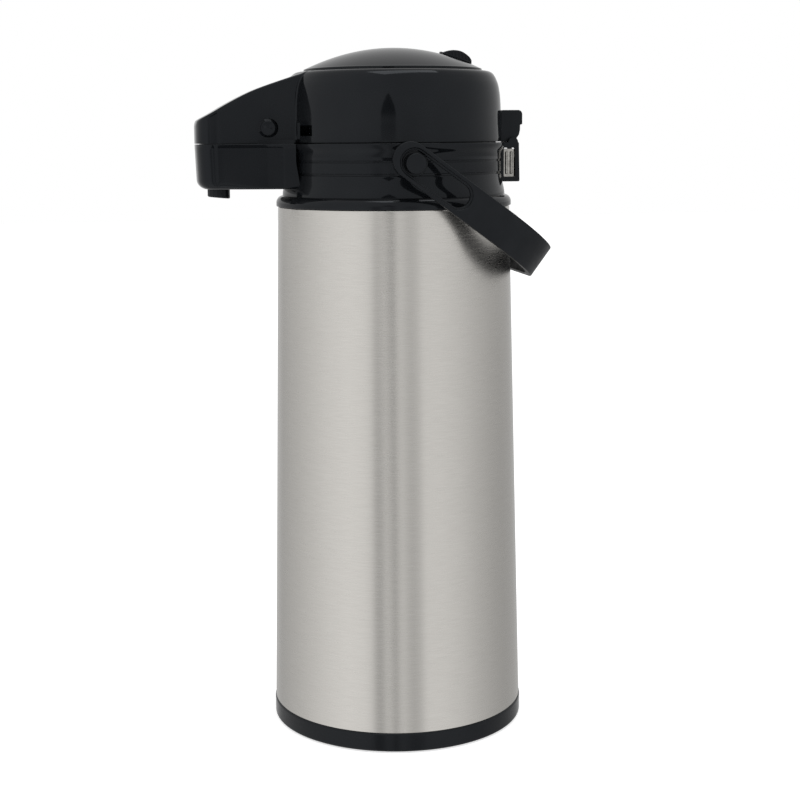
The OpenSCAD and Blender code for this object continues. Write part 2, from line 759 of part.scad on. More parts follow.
module lock_lever() {
    skin = 2.5;
    color(black_satin) {
        // half-moon finger tab
        sector(concat([[29, 411.4], [33, 412.8], [37.5, 413.2], [42, 412.4], [46, 409.9],
                       [48.6, 406.4]], over_dome(48.6, 29, gap)), 90 - 4.2, 90 + 4.2);
        // pad that slides on the dome
        sector(concat(over_dome(30, 47, gap), over_dome(47, 30, 1.4)), 90 - 9, 90 + 9);
        sector([[lock_r - 1, dome_z(lock_r) - skin - 1], [lock_r + 1, dome_z(lock_r) - skin - 1],
                [lock_r + 1, dome_z(lock_r) + 1], [lock_r - 1, dome_z(lock_r) + 1]], 90 - 2, 90 + 2);
        // foot that holds it from below
        sector(concat(over_dome(34, 42, -skin - gap), over_dome(42, 34, -skin - gap - 1.6)),
               90 - 6, 90 + 6);
    }
}

// ---- release buttons ----

module release_button() {
    r = 4.3;
    face_x = 26.8;
    color(black_gloss) translate([0, button_y, button_z]) rotate([0, 90, 0]) turned(concat(
        [[0, 16], [1.5, 16], [1.5, 20.4], [6, 20.4], [6, 21.8], [r, 21.8]],
        arc(r - 0.6, face_x - 0.6, 0.6, 0, 90, 4), [[0, face_x]]));
}

module release_button_left() {
    mirror([1, 0, 0]) release_button();
}

module release_button_right() {
    release_button();
}

module button_spring() {
    color(steel) translate([0, button_y, button_z]) rotate([0, 90, 0]) coil(2.2, 0.3, 12.35, 20.05, 5);
}

module button_spring_left() {
    mirror([1, 0, 0]) button_spring();
}

module button_spring_right() {
    button_spring();
}

foot_ring();
base_cover();
liner_cup();
liner_cushion();
outer_shell();
flask_outer_wall();
flask_inner_wall();
shoulder_cushion();
shoulder_ring();
neck_collar();
collar_screws();
mouth_gasket();
siphon_tube();
siphon_head();
handle_pin_left();
handle_pin_right();
handle_bail();
hinge_pin();
hinge_clip();
head_cover();
spout_lower_cover();
spout_screws();
hinge_tongue();
tongue_screws();
lid_floor();
lid_gasket();
lid_screws();
connector_seal();
spout_pipe();
nozzle();
pump_base();
air_valve();
bellows();
pump_spring();
plate_pin();
push_plate();
lock_lever();
release_button_left();
release_button_right();
button_spring_left();
button_spring_right();
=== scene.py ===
"""The thermal airpot's looks: fine outer pieces, materials, floor, light and camera around the CAD frame.

Outlines are in millimetres and meshes are in metres. X is right, -Y is the spout, Z is up.
"""
import json
import math

import bmesh
import bpy
import numpy as np
from mathutils import Matrix, Vector


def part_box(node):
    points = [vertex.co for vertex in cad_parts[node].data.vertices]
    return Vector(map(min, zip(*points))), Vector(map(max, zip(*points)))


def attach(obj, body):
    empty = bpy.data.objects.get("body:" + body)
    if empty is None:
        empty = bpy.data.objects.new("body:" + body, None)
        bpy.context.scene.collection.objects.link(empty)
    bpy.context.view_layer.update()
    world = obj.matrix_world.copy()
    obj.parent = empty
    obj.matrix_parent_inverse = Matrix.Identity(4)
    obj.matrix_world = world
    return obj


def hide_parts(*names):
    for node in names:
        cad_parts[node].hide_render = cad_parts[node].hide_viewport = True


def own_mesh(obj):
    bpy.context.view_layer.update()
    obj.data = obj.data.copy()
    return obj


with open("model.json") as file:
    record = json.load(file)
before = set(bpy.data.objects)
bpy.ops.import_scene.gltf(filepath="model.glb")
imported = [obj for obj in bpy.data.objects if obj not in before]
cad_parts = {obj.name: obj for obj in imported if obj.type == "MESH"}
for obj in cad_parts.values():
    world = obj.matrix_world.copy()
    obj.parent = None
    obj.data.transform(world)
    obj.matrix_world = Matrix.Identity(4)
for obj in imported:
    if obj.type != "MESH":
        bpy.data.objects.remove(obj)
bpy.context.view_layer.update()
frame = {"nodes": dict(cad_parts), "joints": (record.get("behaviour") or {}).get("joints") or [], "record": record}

MM = 0.001
TURN = 192  # columns in a turned piece


# ---- places taken from the frame, in millimetres ----

def low(node):
    return np.array(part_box(node)[0]) / MM


def high(node):
    return np.array(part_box(node)[1]) / MM


def joint(name):
    return next(j for j in frame["joints"] if j["name"] == name)


BASE_R = high("base_cover")[0]
BASE_FOOT = low("base_cover")[2]
BASE_TOP = low("outer_shell")[2]
JACKET_R = high("outer_shell")[0]
JACKET_TOP = high("outer_shell")[2]
JACKET_TOP_R = 70.3
SHOULDER_R = high("shoulder_ring")[0]
SHOULDER_Z = JACKET_TOP + 0.4
NECK_Z = high("shoulder_ring")[2]
SEAM_Z = low("head_cover")[2]
LIP_Z = SEAM_Z - 0.4
HEAD_TOP = high("head_cover")[2]
HEAD_R = high("head_cover")[0]
PLATE_R = high("push_plate")[0]
PLATE_RIM = 401.6
DOME_RISE = high("push_plate")[2] - PLATE_RIM
WELL_R = PLATE_R + 1
PIVOT_Z = joint("handle_swing")["pos_m"][2] / MM
HINGE_Y, HINGE_Z = (v / MM for v in joint("lid_open")["pos_m"][1:])
EAR_R = 3.0
PIN_R = 1.5
PIN_HALF = 10.2
PIN_FACE = high("handle_pin_right")[0]
BOSS_FACE = 72.3
BAIL_W = high("handle_bail")[0]
SPOUT_FLOOR = low("spout_lower_cover")[2] - 0.8
SPOUT_REACH = -low("head_cover")[1]
SPOUT_ROOT_W = 28
NOZZLE_Y = (low("nozzle")[1] + high("nozzle")[1]) / 2
BUTTON_Y = (low("release_button_right")[1] + high("release_button_right")[1]) / 2
BUTTON_Z = (low("release_button_right")[2] + high("release_button_right")[2]) / 2
BELLOWS_Z = low("bellows")[2]
BELLOWS_TOP = high("bellows")[2]


# ---- outlines ----

def rounded(points, steps=6, closed=True):
    """The outline with an arc at each corner that has a third value, the arc's radius."""
    out = []
    for i, point in enumerate(points):
        here = np.array(point[:2], float)
        if len(point) < 3 or (not closed and i in (0, len(points) - 1)):
            out.append(here)
            continue
        back = np.array(points[i - 1][:2], float) - here
        ahead = np.array(points[(i + 1) % len(points)][:2], float) - here
        back, ahead = back / np.linalg.norm(back), ahead / np.linalg.norm(ahead)
        half = math.acos(np.clip(back @ ahead, -1, 1)) / 2
        between = (back + ahead) / np.linalg.norm(back + ahead)
        centre = here + between * point[2] / math.sin(half)
        first = here + back * point[2] / math.tan(half) - centre
        last = here + ahead * point[2] / math.tan(half) - centre
        start = math.atan2(first[1], first[0])
        turn = (math.atan2(last[1], last[0]) - start + math.pi) % (2 * math.pi) - math.pi
        for k in range(steps + 1):
            angle = start + turn * k / steps
            out.append(centre + point[2] * np.array([math.cos(angle), math.sin(angle)]))
    return out


def arc(cx, cy, r, start, end, steps=12):
    """Points on a circle between two angles in degrees."""
    angles = np.radians(np.linspace(start, end, steps + 1))
    return [(cx + r * math.cos(a), cy + r * math.sin(a)) for a in angles]


def eased(start, end, steps):
    """An S-curve between two [radius, height] points, upright at both ends."""
    t = np.linspace(0, 1, steps + 1)
    s = (1 - np.cos(math.pi * t)) / 2
    return [(start[0] + (end[0] - start[0]) * b, start[1] + (end[1] - start[1]) * a)
            for a, b in zip(t, s)]


def flowing(points, steps=16):
    """A smooth line through the points (Catmull-Rom)."""
    p = np.array(points, float)
    p = np.vstack([2 * p[0] - p[1], p, 2 * p[-1] - p[-2]])
    out = []
    for i in range(1, len(p) - 2):
        for t in np.linspace(0, 1, steps, endpoint=False):
            out.append(0.5 * (2 * p[i] + (p[i + 1] - p[i - 1]) * t
                              + (2 * p[i - 1] - 5 * p[i] + 4 * p[i + 1] - p[i + 2]) * t ** 2
                              + (3 * p[i] - p[i - 1] - 3 * p[i + 1] + p[i + 2]) * t ** 3))
    return np.array(out + [p[-2]])


def smooth_step(t):
    t = np.clip(t, 0, 1)
    return t * t * (3 - 2 * t)


def dome_z(r):
    return PLATE_RIM + DOME_RISE * (1 - (r / PLATE_R) ** 2)


# ---- meshes ----

def mesh_object(name, bm):
    bmesh.ops.remove_doubles(bm, verts=bm.verts, dist=1e-7)
    bare = [e for e in bm.edges if not e.link_faces]
    bmesh.ops.delete(bm, geom=bare, context="EDGES")
    bmesh.ops.recalc_face_normals(bm, faces=bm.faces)
    mesh = bpy.data.meshes.new(name)
    bm.to_mesh(mesh)
    bm.free()
    piece = bpy.data.objects.new(name, mesh)
    bpy.context.scene.collection.objects.link(piece)
    return piece


def ring_object(name, rings, closed=True, caps=False):
    """A skin over rings of points in mm; closed joins the last ring to the first."""
    bm = bmesh.new()
    rows = [[bm.verts.new(Vector(p) * MM) for p in ring] for ring in rings]
    count = len(rows[0])
    pairs = list(zip(rows, rows[1:])) + ([(rows[-1], rows[0])] if closed else [])
    for a, b in pairs:
        for j in range(count):
            k = (j + 1) % count
            bm.faces.new((a[j], a[k], b[k], b[j]))
    if caps:
        bm.faces.new(rows[0])
        bm.faces.new(rows[-1])
    return mesh_object(name, bm)


def turned(name, profile, columns=TURN, axis="Z", centre=(0, 0, 0)):
    """A closed [radius, height] outline turned about an axis through centre."""
    angles = np.linspace(0, 2 * math.pi, columns, endpoint=False)
    rings = []
    for r, h in profile:
        c, s = r * np.cos(angles), r * np.sin(angles)
        if axis == "Z":
            ring = np.stack([c, s, np.full(columns, h)], 1)
        else:
            ring = np.stack([np.full(columns, h), c, s], 1)
        rings.append(ring + np.array(centre))
    return ring_object(name, rings)


def prism(name, outline, x0, x1):
    """A [y, z] outline made solid from x0 to x1."""
    rings = [[(x, y, z) for y, z in outline] for x in (x0, x1)]
    return ring_object(name, rings, closed=False, caps=True)


def applied(piece):
    """Puts the piece's modifiers into its mesh."""
    bpy.context.view_layer.update()
    graph = bpy.context.evaluated_depsgraph_get()
    mesh = bpy.data.meshes.new_from_object(piece.evaluated_get(graph))
    piece.modifiers.clear()
    piece.data = mesh
    return piece


def joined(piece, others, operation="UNION"):
    """The piece after a boolean with each other piece, which are used up."""
    for other in others:
        step = piece.modifiers.new("shape", "BOOLEAN")
        step.operation = operation
        step.solver = "EXACT"
        step.object = other
        applied(piece)
        bpy.data.objects.remove(other)
    return piece


def cut(piece, others):
    return joined(piece, others, "DIFFERENCE")


def bevelled(piece, width, steps=3, angle=35):
    step = piece.modifiers.new("edges", "BEVEL")
    step.width = width * MM
    step.segments = steps
    step.limit_method = "ANGLE"
    step.angle_limit = math.radians(angle)
    return applied(piece)


def finished(piece, body, slot, *nodes, sharp=32, weighted=True):
    """Smooth shading, material, body and the CAD nodes that the piece stands for."""
    piece.data.shade_smooth()
    piece.data.set_sharp_from_angle(angle=math.radians(sharp))
    piece.data.materials.clear()
    piece.data.materials.append(MATERIALS[slot])
    if weighted:
        step = piece.modifiers.new("shading", "WEIGHTED_NORMAL")
        step.keep_sharp = True
    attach(piece, body)
    if nodes:
        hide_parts(*nodes)
    return piece


# ---- materials ----

def noise(tree, scale, detail=2.0, stretch=(1, 1, 1)):
    """A noise over the object's own coordinates, in metres."""
    place = tree.nodes.new("ShaderNodeTexCoord")
    mapping = tree.nodes.new("ShaderNodeMapping")
    mapping.inputs["Scale"].default_value = stretch
    texture = tree.nodes.new("ShaderNodeTexNoise")
    texture.inputs["Scale"].default_value = scale
    texture.inputs["Detail"].default_value = detail
    tree.links.new(place.outputs["Object"], mapping.inputs["Vector"])
    tree.links.new(mapping.outputs["Vector"], texture.inputs["Vector"])
    return texture.outputs["Fac"]


def varied(tree, source, lowest, highest):
    """Maps a noise's middle range to lowest..highest."""
    step = tree.nodes.new("ShaderNodeMapRange")
    step.inputs["From Min"].default_value = 0.3
    step.inputs["From Max"].default_value = 0.7
    step.inputs["To Min"].default_value = lowest
    step.inputs["To Max"].default_value = highest
    tree.links.new(source, step.inputs["Value"])
    return step.outputs["Result"]


def two_colours(tree, source, dark, light):
    ramp = tree.nodes.new("ShaderNodeValToRGB")
    ramp.color_ramp.elements[0].position = 0.3
    ramp.color_ramp.elements[1].position = 0.7
    ramp.color_ramp.elements[0].color = (*dark, 1)
    ramp.color_ramp.elements[1].color = (*light, 1)
    tree.links.new(source, ramp.inputs["Fac"])
    return ramp.outputs["Color"]


def material(name, dark, light, rough, colour_noise, rough_noise, bump_noise, bump, metallic=0.0,
             **sockets):
    """A Principled material whose colour, roughness and bump follow three noises."""
    made = bpy.data.materials.new(name)
    made.use_nodes = True
    tree = made.node_tree
    shader = tree.nodes["Principled BSDF"]
    shader.inputs["Metallic"].default_value = metallic
    for socket, value in sockets.items():
        shader.inputs[socket.replace("_", " ")].default_value = value
    links = tree.links
    links.new(two_colours(tree, noise(tree, *colour_noise), dark, light),
              shader.inputs["Base Color"])
    links.new(varied(tree, noise(tree, *rough_noise), *rough), shader.inputs["Roughness"])
    relief = tree.nodes.new("ShaderNodeBump")
    relief.inputs["Strength"].default_value = bump[0]
    relief.inputs["Distance"].default_value = bump[1] * MM
    links.new(noise(tree, *bump_noise), relief.inputs["Height"])
    links.new(relief.outputs["Normal"], shader.inputs["Normal"])
    return made


def brushed_steel():
    """Brushing that runs round the jacket: the noise is long along the circumference, fine along Z."""
    around = (1.0, 1.0, 16.0)
    made = material("jacket_steel", (0.652, 0.631, 0.596), (0.690, 0.669, 0.633), (0.22, 0.28),
                    (110, 3.0, around), (90, 3.0, around), (130, 4.0, around), (0.06, 0.03),
                    metallic=1.0)
    shader = made.node_tree.nodes["Principled BSDF"]
    shader.inputs["Anisotropic"].default_value = 0.9
    shader.inputs["Anisotropic Rotation"].default_value = 0.25
    tangent = made.node_tree.nodes.new("ShaderNodeTangent")
    tangent.direction_type = "RADIAL"
    tangent.axis = "Z"
    made.node_tree.links.new(tangent.outputs["Tangent"], shader.inputs["Tangent"])
    return made


def all_materials():
    made = {"jacket_steel": brushed_steel()}
    made["plastic_gloss"] = material(
        "plastic_gloss", (0.0040, 0.0046, 0.0056), (0.0056, 0.0062, 0.0072), (0.06, 0.10),
        (40, 2.0), (60, 3.0), (700, 2.0), (0.04, 0.02), Specular_IOR_Level=0.23,
        Specular_Tint=(0.87, 0.93, 1.0, 1.0))
    made["plastic_satin"] = material(
        "plastic_satin", (0.0042, 0.0048, 0.0058), (0.0060, 0.0066, 0.0078), (0.32, 0.44),
        (120, 2.0), (150, 3.0), (3200, 3.0), (0.22, 0.05), Specular_IOR_Level=0.23,
        Specular_Tint=(0.87, 0.93, 1.0, 1.0))
    made["rubber_grey"] = material(
        "rubber_grey", (0.030, 0.030, 0.031), (0.045, 0.045, 0.046), (0.70, 0.88),
        (200, 3.0), (260, 3.0), (1800, 4.0), (0.35, 0.08))
    made["fastener_steel"] = material(
        "fastener_steel", (0.34, 0.33, 0.31), (0.52, 0.51, 0.48), (0.22, 0.38),
        (500, 3.0), (700, 3.0), (2500, 3.0, (1, 4, 1)), (0.15, 0.02), metallic=1.0)
    made["flask_glass"] = material(
        "flask_glass", (0.70, 0.72, 0.74), (0.82, 0.84, 0.86), (0.04, 0.10),
        (25, 2.0), (40, 2.0), (90, 2.0), (0.08, 0.10), metallic=1.0, Coat_Weight=0.6,
        Coat_Roughness=0.03)
    made["milky_plastic"] = material(
        "milky_plastic", (0.66, 0.66, 0.62), (0.74, 0.74, 0.70), (0.32, 0.42),
        (80, 2.0), (120, 2.0), (1500, 3.0), (0.10, 0.04), Subsurface_Weight=0.15)
    return made


MATERIALS = all_materials()


# ---- vessel ----

def base_ring():
    profile = rounded([
        (BASE_R, BASE_FOOT, 1.8), (BASE_R, BASE_TOP, 1.4), (76.3, BASE_TOP), (76.3, 24), (74, 24),
        (74, 5, 1), (39, 5, 1), (39, 16, 0.4), (36, 16, 0.4), (36, 1, 0.3), (60, 1), (60, 3),
        (68, 3), (68, BASE_FOOT, 0.5)])
    finished(turned("base_ring", profile), "root", "plastic_gloss", "base_cover")


def steel_jacket():
    wall = 0.6
    rise = np.linspace(0, 1, 40)
    outer = [(JACKET_R + (JACKET_TOP_R - JACKET_R) * t,
              BASE_TOP + 0.3 + (JACKET_TOP - 0.5 - BASE_TOP - 0.3) * t) for t in rise]
    profile = [(JACKET_R - wall, BASE_TOP), (JACKET_R - 0.15, BASE_TOP)] + outer + [
        (JACKET_TOP_R - 0.12, JACKET_TOP - 0.15), (JACKET_TOP_R - 0.4, JACKET_TOP),
        (JACKET_TOP_R - 0.8, JACKET_TOP), (JACKET_TOP_R - 0.8, JACKET_TOP - 1),
        (JACKET_TOP_R - wall, JACKET_TOP - 2)]
    finished(turned("steel_jacket", profile, 256), "root", "jacket_steel", "outer_shell")


def shoulder_band():
    profile = rounded([
        (36, 325), (66.8, 325), (66.8, 304), (69.2, 304), (69.2, SHOULDER_Z),
        (SHOULDER_R, SHOULDER_Z, 0.35), (SHOULDER_R, NECK_Z, 4.3), (36, NECK_Z)], 10)
    finished(turned("shoulder_band", profile), "root", "plastic_gloss", "shoulder_ring")


def neck_band():
    foot_r, groove_r, lip_r, well_r, mouth_r, well_z = 67.4, 64.8, 67.3, 62.5, 34.5, 331
    profile = eased((foot_r, NECK_Z), (65.5, 339.5), 14) + rounded([
        (65.4, 339.7), (groove_r, 339.9, 0.1), (groove_r, 340.9, 0.1), (65.4, 341.1, 0.15),
        (65.3, 347.2, 0.15), (groove_r, 347.4, 0.1), (groove_r, 348.3, 0.1), (65.3, 348.5, 0.15),
        (65.2, 350)], 3, closed=False) + eased((65.2, 351.2), (lip_r, 356.9), 12) + rounded([
            (lip_r, 357.2), (lip_r, LIP_Z, 0.3), (well_r, LIP_Z, 0.4), (well_r, well_z, 1),
            (mouth_r, well_z, 0.5), (mouth_r, NECK_Z)], 4, closed=False)
    band = turned("neck_band", profile)
    bosses = [turned("boss", rounded([(0, s * 63), (7.5, s * 63), (7.5, s * BOSS_FACE, 0.6),
                                      (0, s * BOSS_FACE)]), 64, "X", (0, 0, PIVOT_Z))
              for s in (-1, 1)]
    holes = [turned("hole", [(0, s * 61), (3.05, s * 61), (3.05, s * 74), (0, s * 74)], 48, "X",
                    (0, 0, PIVOT_Z)) for s in (-1, 1)]
    cut(joined(band, bosses + [hinge_bracket()]), holes)
    finished(band, "root", "plastic_gloss", "neck_collar")


def hinge_bracket():
    """Two cheeks with round ears for the pin, over a block with a window through it."""
    half = 10.6
    back, foot, top = 76.3, 334.5, LIP_Z - 0.3
    reach = HINGE_Y - 7
    block = prism("bracket", rounded(
        [(reach, top), (reach - 2, foot), (back, foot, 0.8), (back - 0.5, top, 0.3)]
        + arc(HINGE_Y, HINGE_Z, EAR_R, -5, 185, 24), 4), -half, half)
    window = prism("window", rounded([
        (66.4, 337.3, 0.8), (73.5, 337.3, 0.8), (73.3, 354.8, 0.6), (66.4, 354.8, 0.6)]), -11, 11)
    slot = prism("slot", [(67.5, 349.4), (81, 349.4), (81, 364), (67.5, 364)], -7.4, 7.4)
    block = bevelled(cut(block, [window, slot]), 0.3, 2)
    return cut(block, [pin_bore(PIN_HALF + 0.1)])


def pin_bore(half):
    """A cutter for the hinge pin's bore; where half is less than the ear's, the bore is blind."""
    r = PIN_R + 0.05
    return turned("bore", [(0, -half), (r, -half), (r, half), (0, half)], 32, "X",
                  (0, HINGE_Y, HINGE_Z))


# ---- handle ----

def pivot_caps():
    for side, name in ((-1, "left"), (1, "right")):
        profile = rounded([
            (0, 63.2), (3, 63.2), (3, BOSS_FACE), (5.8, BOSS_FACE), (5.8, PIN_FACE, 0.7),
            (0, PIN_FACE)])
        cap = turned("pivot_cap_" + name, [(r, side * x) for r, x in profile], 96, "X",
                     (0, 0, PIVOT_Z))
        finished(cap, "root", "plastic_satin", "handle_pin_" + name)


def slot_prism(r, x0, x1):
    return prism("slot", arc(-1, 0, r, 90, 270, 24) + arc(30.4, 0, r, -90, 90, 24), x0, x1)


def strap_handle():
    """A strap bent into a bow, with a long slot in each arm; it hangs back at an angle."""
    drop, reach, corner = math.radians(36.3), 100.9, 40
    thick, half, end_y = 4.2, 10.3, -3.5
    straight = [(BAIL_W, end_y - half - 1)]
    outer = straight + arc(BAIL_W - corner, reach - corner, corner, 0, 90, 28) + arc(
        corner - BAIL_W, reach - corner, corner, 90, 180, 28) + [(-BAIL_W, end_y - half - 1)]
    inner = [(BAIL_W - thick, end_y - half - 1)] + arc(
        BAIL_W - corner, reach - corner, corner - thick, 0, 90, 28) + arc(
            corner - BAIL_W, reach - corner, corner - thick, 90, 180, 28) + [
                (thick - BAIL_W, end_y - half - 1)]
    rings = [[(x, y, z) for x, y in outer + inner[::-1]] for z in (-half, half)]
    strap = ring_object("strap_handle", rings, closed=False, caps=True)
    end = arc(end_y, 0, half, 90, 270, 32)
    limits = prism("limits", end + [(reach + 20, -half), (reach + 20, half)], -90, 90)
    strap = joined(strap, [limits], "INTERSECT")
    step = 1.3
    slots = [slot_prism(6.9, -90, 90), slot_prism(6.9 + step, BAIL_W - step, 90),
             slot_prism(6.9 + step, -90, step - BAIL_W)]
    cut(strap, slots)
    bevelled(strap, 0.75, 3)
    strap.data.transform(Matrix.Translation((0, 0, PIVOT_Z * MM)) @ Matrix.Rotation(-drop, 4, "X"))
    finished(strap, "handle", "plastic_satin", "handle_bail")


# ---- rear hinge ----

def hinge_pieces():
    pin = turned("hinge_rod", rounded([
        (0, -PIN_HALF), (PIN_R, -PIN_HALF, 0.3), (PIN_R, PIN_HALF, 0.3), (0, PIN_HALF)]), 48, "X",
                 (0, HINGE_Y, HINGE_Z))
    finished(pin, "root", "fastener_steel", "hinge_pin")
    leaf, bend, front = 0.8, 2.8, 67.2
    middle, rear = front + bend, front + 2 * bend
    clip = prism("clip_spring", [(front, 354)] + arc(middle, 340.9, bend, 180, 360, 20) + [
        (rear, 348.6), (rear - leaf, 348.6)] + arc(middle, 340.9, bend - leaf, 360, 180, 20) + [
            (front + leaf, 354)], -8.3, 8.3)
    cheeks = [bevelled(prism("cheek", rounded([
        (66.4, 337.3, 0.6), (73, 337.3, 0.6), (73, 354.2, 0.6), (66.4, 354.2, 0.6)]),
        side * 8.7 - 0.4, side * 8.7 + 0.4), 0.15, 2) for side in (-1, 1)]
    ribs = [turned("rib", rounded([(0, 339), (0.9, 339, 0.5), (0.9, 352.6, 0.5), (0, 352.6)]), 24,
                   centre=(side * 9.0, y, 0)) for side in (-1, 1) for y in (68.3, 71.2)]
    finished(joined(bevelled(clip, 0.15, 2), cheeks + ribs), "root", "fastener_steel", "hinge_clip")
    lug = [(HINGE_Y - EAR_R, 358.6)] + arc(HINGE_Y, HINGE_Z, EAR_R, 190, 360, 20) + [
        (HINGE_Y + EAR_R - 0.1, 360.5, 0.4)]
    block = prism("hinge_block", rounded(
        [(65.4, 377.4, 1.4), (65.4, 358.6, 0.2)] + lug + [
            (76.7, 362.7, 0.9), (77.3, 365.4, 0.6), (77.4, 368.5, 0.3), (78.7, 368.9, 0.4),
            (78.7, 377.4, 2.5)], 4), -7, 7)
    finished(bevelled(cut(block, [pin_bore(12)]), 0.5, 3), "lid", "plastic_satin", "hinge_tongue")


# ---- head and spout ----

def spout_outline():
    """One side of the spout's plan, [half width, distance], rounded off where its nose begins."""
    nose_w, nose_d = 21.6, 107
    angles = np.radians(np.linspace(0, 90, 24))
    points = [(SPOUT_ROOT_W, 40), (SPOUT_ROOT_W, 62)] + [
        (nose_w * math.cos(a) ** 0.55, nose_d + (SPOUT_REACH - nose_d) * math.sin(a) ** 0.8)
        for a in angles[:-1]] + [(0, SPOUT_REACH)]
    points = np.array(points)
    for _ in range(2):
        quarter, three = 0.75 * points[:-1] + 0.25 * points[1:], 0.25 * points[:-1] + 0.75 * points[1:]
        middle = np.stack([quarter, three], 1).reshape(-1, 2)
        points = np.vstack([points[0], middle, points[-1]])
    return points


HEAD_LINE = flowing([
    (HEAD_R, SEAM_Z), (65.15, 368), (65, 378), (64.7, 384), (64.2, 388.4), (63.4, 392.4),
    (62.2, 395.5), (61.2, 397.4), (60, 398.9), (58.3, 399.9), (56, HEAD_TOP)])
TOP_LINE = flowing([
    (36, HEAD_TOP), (48, HEAD_TOP), (54, 399.8), (58, 398.7), (62, 397.5), (66, 396.2), (70, 394.9),
    (78, 392.2), (86, 389.2), (94, 385.5), (102, 381.3), (110, 376.7), (117.4, 372.7), (119, 371.2),
    (120.4, 368.5)])
OUTLINE = spout_outline()


def upright_share(line):
    """For each point of a line, how far its normal leans sideways (0) or straight up (1)."""
    run = np.gradient(line, axis=0)
    return np.abs(run[:, 0]) / np.hypot(run[:, 0], run[:, 1])


HEAD_LEAN = np.sqrt(1 - upright_share(HEAD_LINE) ** 2)
TOP_LEAN = upright_share(TOP_LINE)


def soft_min(a, b, blend):
    h = np.clip(0.5 + 0.5 * (b - a) / blend, 0, 1)
    return b + (a - b) * h - blend * h * (1 - h)


def head_field(r, angle, z):
    """Roughly the distance outside the head and spout, in mm, at cylinder coordinates.

    The spout's sides are where all of the outline's edges, run on as straight lines, leave room.
    The outline turns outwards again behind the nose, so this is narrower than it near the head.
    """
    x, d = r * np.sin(angle), r * np.cos(angle)
    body = (r - np.interp(z, HEAD_LINE[:, 1], HEAD_LINE[:, 0])) * np.maximum(
        np.interp(z, HEAD_LINE[:, 1], HEAD_LEAN), 0.25)
    side = np.broadcast_to(30.0 - d, np.broadcast(x, z).shape)
    for a, b in zip(OUTLINE, OUTLINE[1:]):
        along = (b - a) / np.linalg.norm(b - a)
        side = np.maximum(side, (np.abs(x) - a[0]) * along[1] - (d - a[1]) * along[0])
    top = np.interp(d, TOP_LINE[:, 0], TOP_LINE[:, 1])
    over = (z - top + 0.2 * (x / 22) ** 2) * np.interp(d, TOP_LINE[:, 0], TOP_LEAN)
    edge = 1.1
    a, b = side + edge, over + edge
    spout = np.minimum(np.maximum(a, b), 0) + np.hypot(np.maximum(a, 0), np.maximum(b, 0)) - edge
    return soft_min(body, spout, 1.0)


def head_radius(angle, z, inside=0.0):
    """The radius at which the head's surface, or one inside it, lies at each angle and height."""
    near, far = np.full(angle.shape, 20.0), np.full(angle.shape, 126.0)
    for _ in range(24):
        middle = (near + far) / 2
        within = head_field(middle, angle, z) < -inside
        near, far = np.where(within, middle, near), np.where(within, far, middle)
    return (near + far) / 2


def head_shell():
    angle = np.radians(np.concatenate([np.arange(-31, 31, 0.25), np.arange(31, 329, 2)]))
    count = len(angle)

    def ring(r, z):
        r = np.broadcast_to(r, count)
        return np.stack([r * np.sin(angle), -r * np.cos(angle), np.full(count, z)], 1)

    wall = 2.5
    edge = 0.25  # rounding at the seam
    rings = [ring(head_radius(angle, SEAM_Z + edge) - edge * (1 - math.cos(a)),
                  SEAM_Z + edge * (1 - math.sin(a))) for a in np.radians((90, 60, 35, 12))]
    heights = np.concatenate([
        np.arange(SEAM_Z + 0.6, 367, 1.0), np.arange(367, 396, 0.45), np.arange(396, 399, 0.22),
        np.arange(399, HEAD_TOP - 0.02, 0.1), [HEAD_TOP]])
    rings += [ring(head_radius(angle, z), z) for z in heights]
    rings += [ring(r, z) for r, z in rounded([
        (55.6, HEAD_TOP), (WELL_R, HEAD_TOP, 0.5), (WELL_R, 388), (WELL_R + 1.8, 388),
        (WELL_R + 1.8, 397)], closed=False)]
    inner_heights = np.concatenate([[397.4], np.arange(396, SEAM_Z, -2.5), [SEAM_Z]])
    rings += [ring(np.maximum(head_radius(angle, z, wall), WELL_R + 2.4), z)
              for z in inner_heights]
    shell = ring_object("head_shell", rings)
    cut(joined(shell, [window_pocket(s) for s in (-1, 1)]),
        [button_hole(s, shift) for s in (-1, 1) for shift in (0, 0.9)]
        + [square_window(s) for s in (-1, 1)])
    finished(shell, "lid", "plastic_gloss", "head_cover", weighted=False)


def button_hole(side, shift):
    """A cutter for a release button's hole, shift nearer to the head."""
    r, start, end = 5.4, side * 17, side * 34
    return turned("hole", [(0, start), (r, start), (r, end), (0, end)], 64, "X",
                  (0, BUTTON_Y + shift, BUTTON_Z))


def window_pocket(side):
    """A solid block behind a square window."""
    front, back, bottom, top = -61, -52.2, 361, 370.4
    return prism("pocket", [(front, bottom), (back, bottom), (back, top), (front, top)],
                 *sorted((side * 17, side * 26.6)))


def square_window(side):
    """A cutter for a window; its back wall slopes, so that it mirrors the pocket, not the room."""
    front, back, bottom, top = -59.4, -53.7, 362.7, 368.8
    deep, shallow, outside = 18.5, 23, 40
    square = [(front, bottom, deep), (back, bottom, deep), (back, top, shallow),
              (front, top, shallow)]
    return ring_object("window", [[(side * x, y, z) for y, z, x in square],
                                  [(side * outside, y, z) for y, z, _ in square]],
                       closed=False, caps=True)


